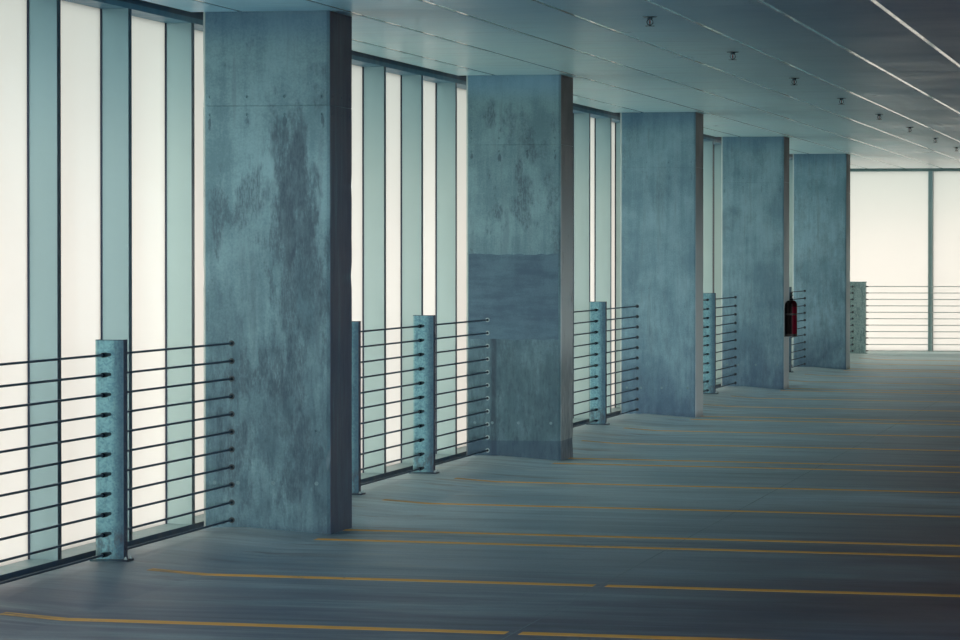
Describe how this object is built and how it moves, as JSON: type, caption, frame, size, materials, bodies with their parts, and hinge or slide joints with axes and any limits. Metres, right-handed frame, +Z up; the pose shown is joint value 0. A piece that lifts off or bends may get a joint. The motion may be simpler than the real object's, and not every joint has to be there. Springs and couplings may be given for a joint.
{
  "type": "parking deck storey of a multi storey car park, 1:2 scale",
  "caption": "Storey of a car park open at one end: slabs, a falling floor, concrete columns, cable barriers on posts, and translucent glazed walls with deep mullions on three sides.",
  "frame": {"origin": "middle of the deck slab's underside, at the middle of the storey's bounding box", "axes": "+Y along the deck from its open end to its glazed end wall, +Z up, the extinguisher's row of columns on the side of negative X"},
  "size_m": [9.87, 25.6504, 1.8475],
  "materials": {
    "slab_concrete": "cast concrete, formwork face",
    "floor_screed": "steel-trowelled concrete screed",
    "ceiling_concrete": "smooth cast concrete, faint plank lines",
    "column_concrete": "board-marked cast concrete",
    "mullion_aluminium": "satin anodised",
    "rail_paint": "dark blue powder coat",
    "translucent_glass": "white translucent laminated panes",
    "steel_cable": "galvanised strand",
    "galvanised_steel": "hot-dip galvanised",
    "sprinkler_chrome": "plated",
    "extinguisher_enamel": "gloss red enamel",
    "bracket_paint": "black paint"
  },
  "bodies": {
    "root": {"ceiling_bay_1": "ceiling_concrete", "ceiling_bay_2": "ceiling_concrete", "ceiling_bay_3": "ceiling_concrete", "ceiling_bay_4": "ceiling_concrete", "ceiling_bay_5": "ceiling_concrete", "ceiling_bay_6": "ceiling_concrete", "corner_posts": "galvanised_steel", "deck_slab": "slab_concrete", "end_barrier_cables": "steel_cable", "end_barrier_posts": "galvanised_steel", "end_glass": "translucent_glass", "end_head_rail": "rail_paint", "end_kerb": "floor_screed", "end_mullions": "mullion_aluminium", "end_sill_rail": "rail_paint", "extinguisher_bracket": "bracket_paint", "fire_extinguisher": "extinguisher_enamel", "left_barrier_cables": "steel_cable", "left_barrier_posts": "galvanised_steel", "left_column_1": "column_concrete", "left_column_2": "column_concrete", "left_column_3": "column_concrete", "left_column_4": "column_concrete", "left_column_5": "column_concrete", "left_column_6": "column_concrete", "left_floor_screed": "floor_screed", "left_glass": "translucent_glass", "left_head_rail": "rail_paint", "left_mullions": "mullion_aluminium", "left_sill_rail": "rail_paint", "right_barrier_cables": "steel_cable", "right_barrier_posts": "galvanised_steel", "right_column_1": "column_concrete", "right_column_2": "column_concrete", "right_column_3": "column_concrete", "right_column_4": "column_concrete", "right_column_5": "column_concrete", "right_column_6": "column_concrete", "right_floor_screed": "floor_screed", "right_glass": "translucent_glass", "right_head_rail": "rail_paint", "right_mullions": "mullion_aluminium", "right_sill_rail": "rail_paint", "sprinklers": "sprinkler_chrome", "upper_slab": "slab_concrete"}
  },
  "joints": []
}
